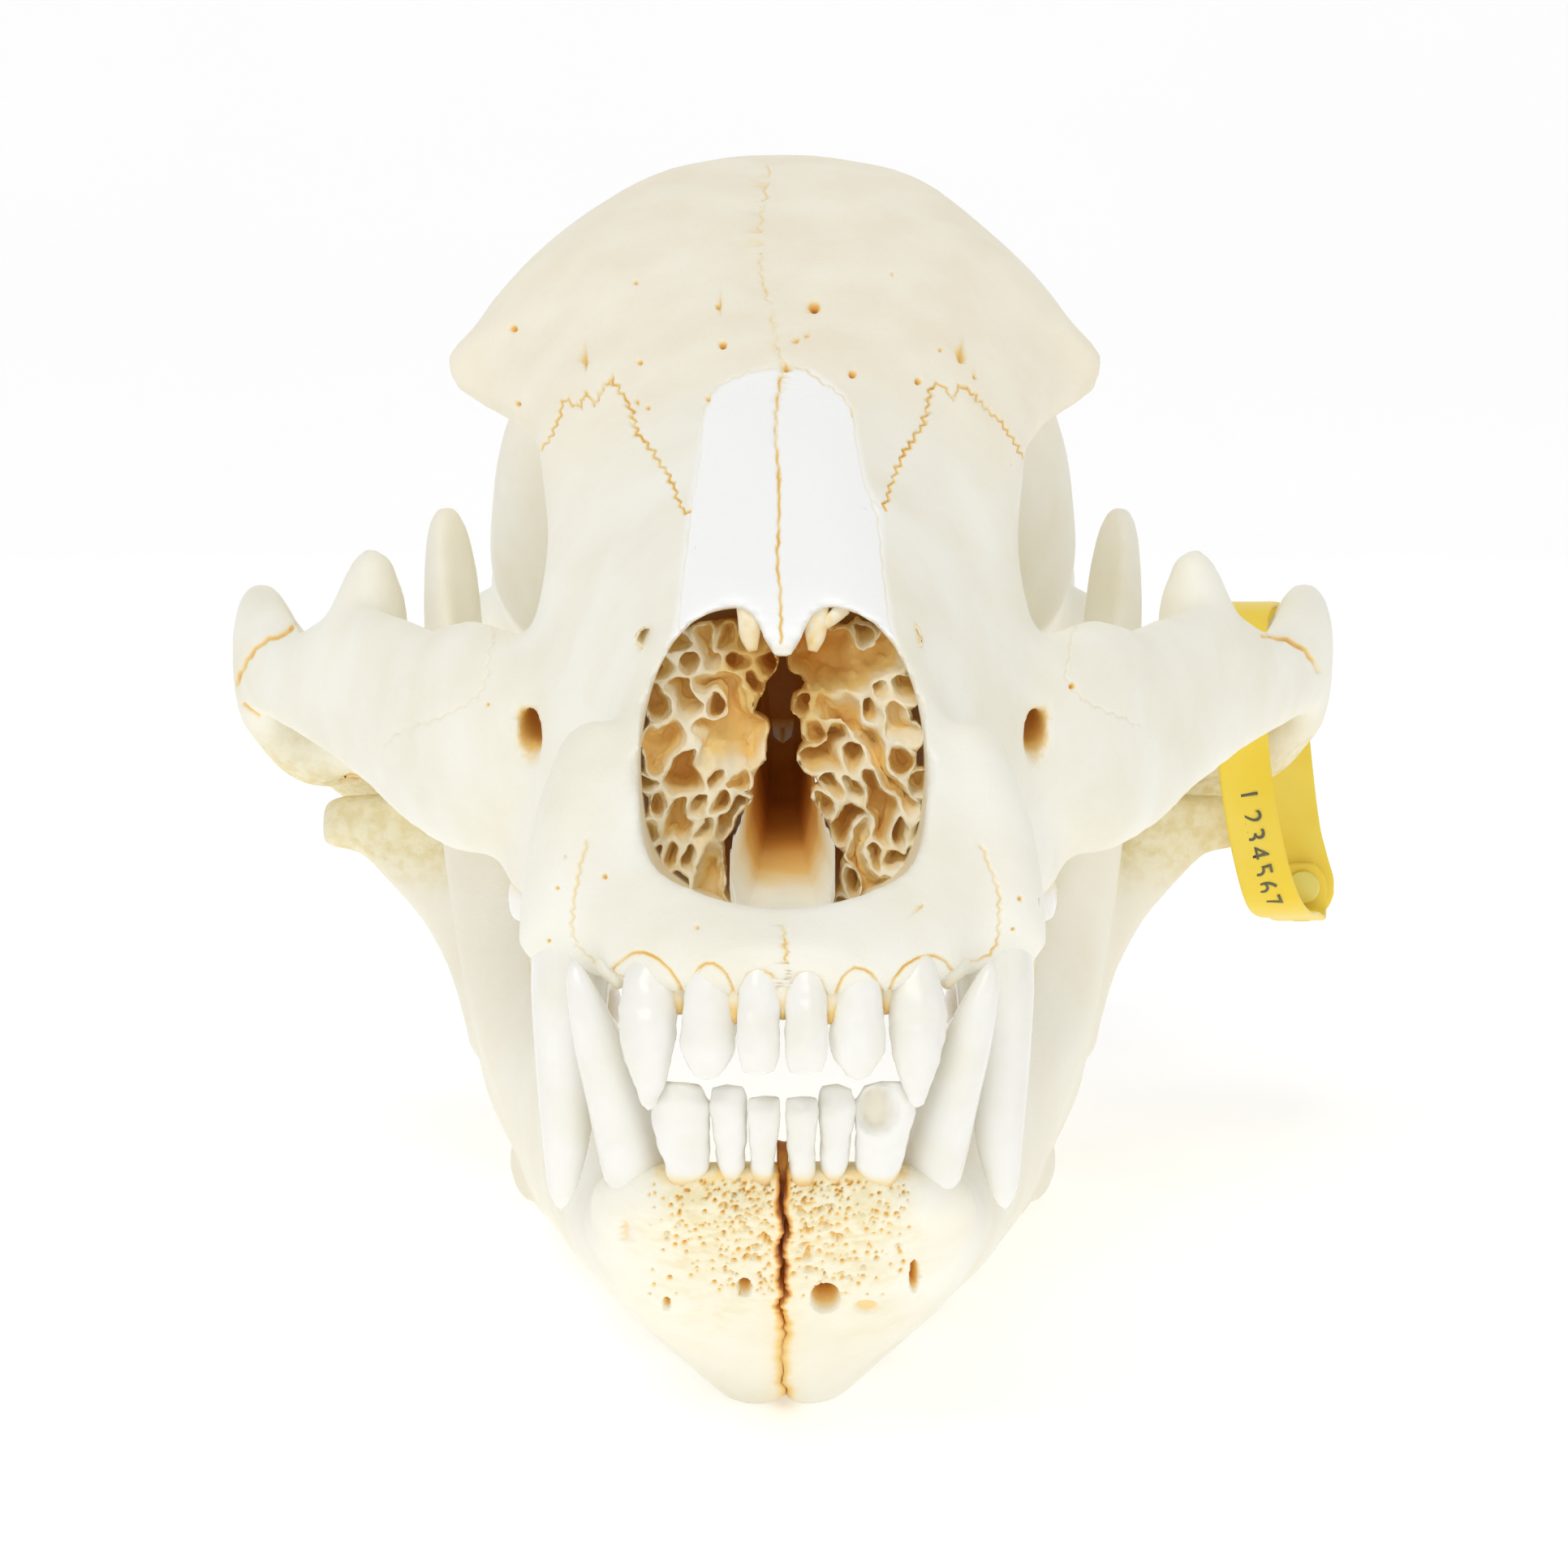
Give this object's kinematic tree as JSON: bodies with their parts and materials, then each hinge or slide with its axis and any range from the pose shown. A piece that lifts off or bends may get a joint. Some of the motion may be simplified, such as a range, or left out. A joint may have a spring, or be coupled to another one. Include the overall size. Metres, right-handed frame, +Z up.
{
  "type": "grizzly bear skull",
  "caption": "Bleached bear skull resting on its lower jaw, canines crossed and mouth slightly open, with a yellow strap tag looped round a cheek arch.",
  "frame": {"origin": "on the surface it rests on, under the middle of the whole skull's box", "axes": "the skull faces -Y, +X is the animal's left, +Z is up"},
  "size_m": [0.2025, 0.3257, 0.1861],
  "materials": {
    "bone": "dry bleached bone, matte, creamy white with fine pores",
    "enamel": "white tooth enamel, satin gloss",
    "tag": "yellow moulded plastic, satin"
  },
  "bodies": {
    "root": {"cranium": "bone", "mandible_left": "bone", "mandible_right": "bone", "upper_incisor_1_left": "enamel", "upper_incisor_1_right": "enamel", "upper_incisor_2_left": "enamel", "upper_incisor_2_right": "enamel", "upper_incisor_3_left": "enamel", "upper_incisor_3_right": "enamel", "upper_canine_left": "enamel", "upper_canine_right": "enamel", "upper_premolar_1_left": "enamel", "upper_premolar_1_right": "enamel", "upper_premolar_3_left": "enamel", "upper_premolar_3_right": "enamel", "upper_premolar_4_left": "enamel", "upper_premolar_4_right": "enamel", "upper_molar_1_left": "enamel", "upper_molar_1_right": "enamel", "upper_molar_2_left": "enamel", "upper_molar_2_right": "enamel", "lower_incisor_1_left": "enamel", "lower_incisor_1_right": "enamel", "lower_incisor_2_left": "enamel", "lower_incisor_2_right": "enamel", "lower_incisor_3_left": "enamel", "lower_incisor_3_right": "enamel", "lower_canine_left": "enamel", "lower_canine_right": "enamel", "lower_premolar_1_left": "enamel", "lower_premolar_1_right": "enamel", "lower_premolar_4_left": "enamel", "lower_premolar_4_right": "enamel", "lower_molar_1_left": "enamel", "lower_molar_1_right": "enamel", "lower_molar_2_left": "enamel", "lower_molar_2_right": "enamel", "lower_molar_3_left": "enamel", "lower_molar_3_right": "enamel", "tag_strap": "tag", "tag_stud": "tag"}
  },
  "joints": []
}
